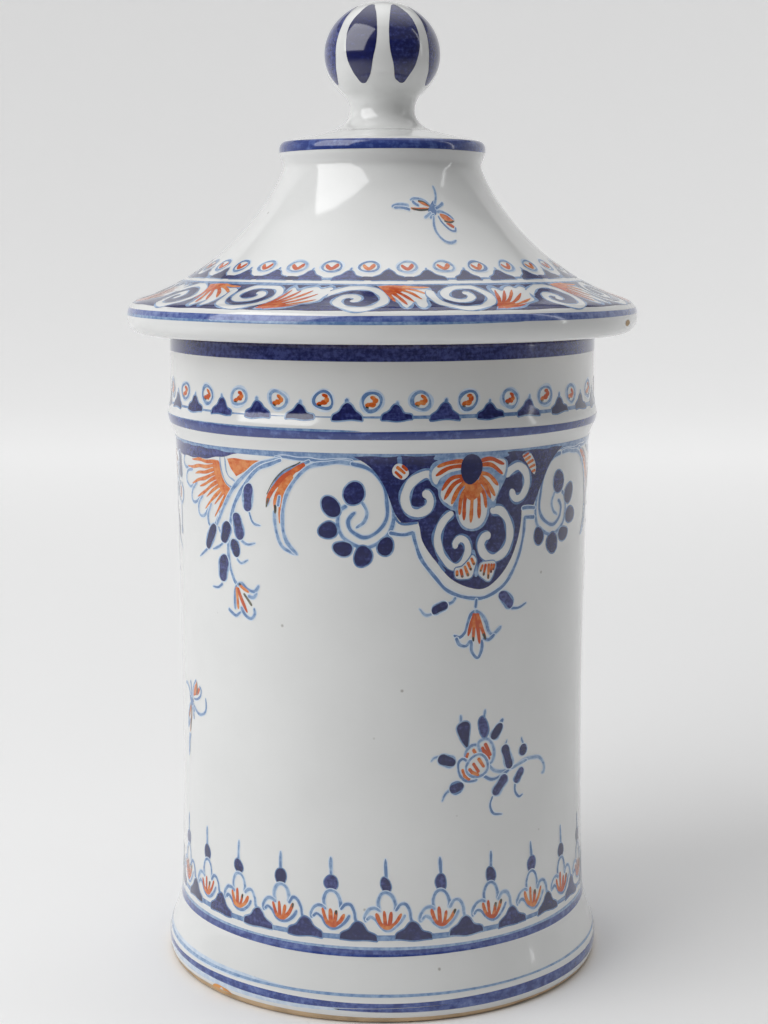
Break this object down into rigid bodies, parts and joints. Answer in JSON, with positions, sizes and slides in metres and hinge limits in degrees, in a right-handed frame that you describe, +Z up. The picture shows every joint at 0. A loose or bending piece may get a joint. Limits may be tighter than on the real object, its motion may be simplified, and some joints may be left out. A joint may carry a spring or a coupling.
{
  "type": "apothecary jar",
  "caption": "Cylindrical glazed earthenware storage jar on a flared foot, with a loose flanged lid lifted by a ball knob.",
  "frame": {"origin": "centre of the foot's underside, on the jar's axis", "axes": "+Z up along the jar's axis, -Y towards the painted front, +X to the right seen from the front"},
  "size_m": [0.1536, 0.1536, 0.29],
  "materials": {
    "jar_glaze": "glossy white tin glaze, painted in cobalt blue and iron orange",
    "lid_glaze": "glossy white tin glaze, painted in cobalt blue and iron orange",
    "lid_biscuit": "thinly glazed to bare biscuit, satin",
    "knob_glaze": "glossy white tin glaze with cobalt petals"
  },
  "bodies": {
    "jar": {"jar_body": "jar_glaze"},
    "lid": {"lid_cover": "lid_glaze", "lid_flange": "lid_biscuit", "lid_knob": "knob_glaze"}
  },
  "joints": [
    {"name": "lid_lift", "type": "slide", "parent": "jar", "child": "lid", "axis": [0, 0, 1], "range_m": [0, 0.15]}
  ]
}
